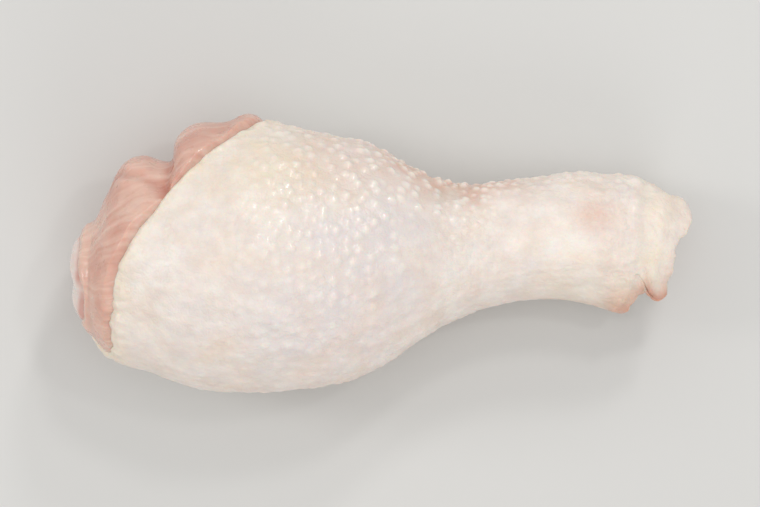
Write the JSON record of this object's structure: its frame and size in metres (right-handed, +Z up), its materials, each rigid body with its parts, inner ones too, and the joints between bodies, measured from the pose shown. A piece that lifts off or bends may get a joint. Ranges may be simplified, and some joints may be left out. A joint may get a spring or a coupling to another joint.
{
  "type": "raw chicken drumstick",
  "caption": "Raw chicken drumstick lying on its side, skin over the meat, bare glossy meat and joint at the knee end, slim shank and cut ankle joint.",
  "frame": {"origin": "under the middle of the part's box, on the surface that it lies on", "axes": "+X from the knee end to the ankle end, +Y to the side where the meat is bare, +Z up"},
  "size_m": [0.138, 0.0626, 0.0465],
  "materials": {
    "skin": "satin",
    "meat": "gloss",
    "bone": "gloss"
  },
  "bodies": {
    "root": {"skin": "skin", "meat": "meat", "bone": "bone"}
  },
  "joints": []
}
